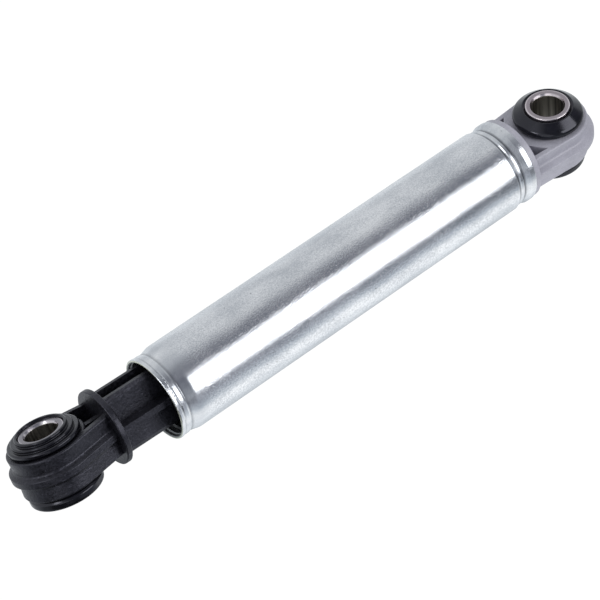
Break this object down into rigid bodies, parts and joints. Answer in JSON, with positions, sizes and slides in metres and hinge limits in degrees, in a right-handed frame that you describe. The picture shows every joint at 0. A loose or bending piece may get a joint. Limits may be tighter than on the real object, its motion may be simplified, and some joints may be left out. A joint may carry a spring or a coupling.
{
  "type": "washing machine damper",
  "caption": "Friction damper with a plated steel tube, a moulded eye at its rear end, and a ribbed plunger rod whose own rubber-bushed eye slides and turns in the tube.",
  "frame": {"origin": "middle of the rear eye's bore", "axes": "+X along the damper from the rear eye to the rod's eye, +Z along the rear bore"},
  "size_m": [0.2376, 0.0317, 0.0303],
  "materials": {
    "plated_steel": "bright zinc plate, rolled",
    "cap_plastic": "moulded, satin",
    "rod_plastic": "moulded glass-filled, satin",
    "bush_rubber": "moulded, glossy",
    "sleeve_steel": "turned and zinc plated",
    "piston_plastic": "moulded, natural",
    "ring_plastic": "moulded",
    "lining_foam": "greased foam",
    "buffer_rubber": "moulded"
  },
  "bodies": {
    "housing": {"damper_tube": "plated_steel", "rear_eye_cap": "cap_plastic", "rear_bush_rubber": "bush_rubber"},
    "rear_sleeve": {"rear_bush_sleeve": "sleeve_steel"},
    "piston": {"piston_carrier": "piston_plastic", "friction_lining": "lining_foam", "front_guide_ring": "ring_plastic", "rear_guide_ring": "ring_plastic", "extension_buffer": "buffer_rubber"},
    "rod": {"plunger_rod": "rod_plastic", "front_bush_rubber": "bush_rubber"},
    "front_sleeve": {"front_bush_sleeve": "sleeve_steel"}
  },
  "joints": [
    {"name": "rear_bush_turn", "type": "hinge", "parent": "housing", "child": "rear_sleeve", "pos_m": [0, 0, 0], "axis": [0, 0, 1], "range_deg": [-20, 20], "stiffness_Nm_per_rad": 8},
    {"name": "piston_slide", "type": "slide", "parent": "housing", "child": "piston", "axis": [1, 0, 0], "range_m": [-0.0164, 0.04]},
    {"name": "rod_turn", "type": "hinge", "parent": "piston", "child": "rod", "pos_m": [0.105, 0, 0], "axis": [0.9998, -0.0155, 0.0126], "continuous": true},
    {"name": "front_bush_turn", "type": "hinge", "parent": "rod", "child": "front_sleeve", "pos_m": [0.20768, -0.00159, 0.00129], "axis": [-0.018, -0.4225, 0.9062], "range_deg": [-20, 20], "stiffness_Nm_per_rad": 8}
  ]
}
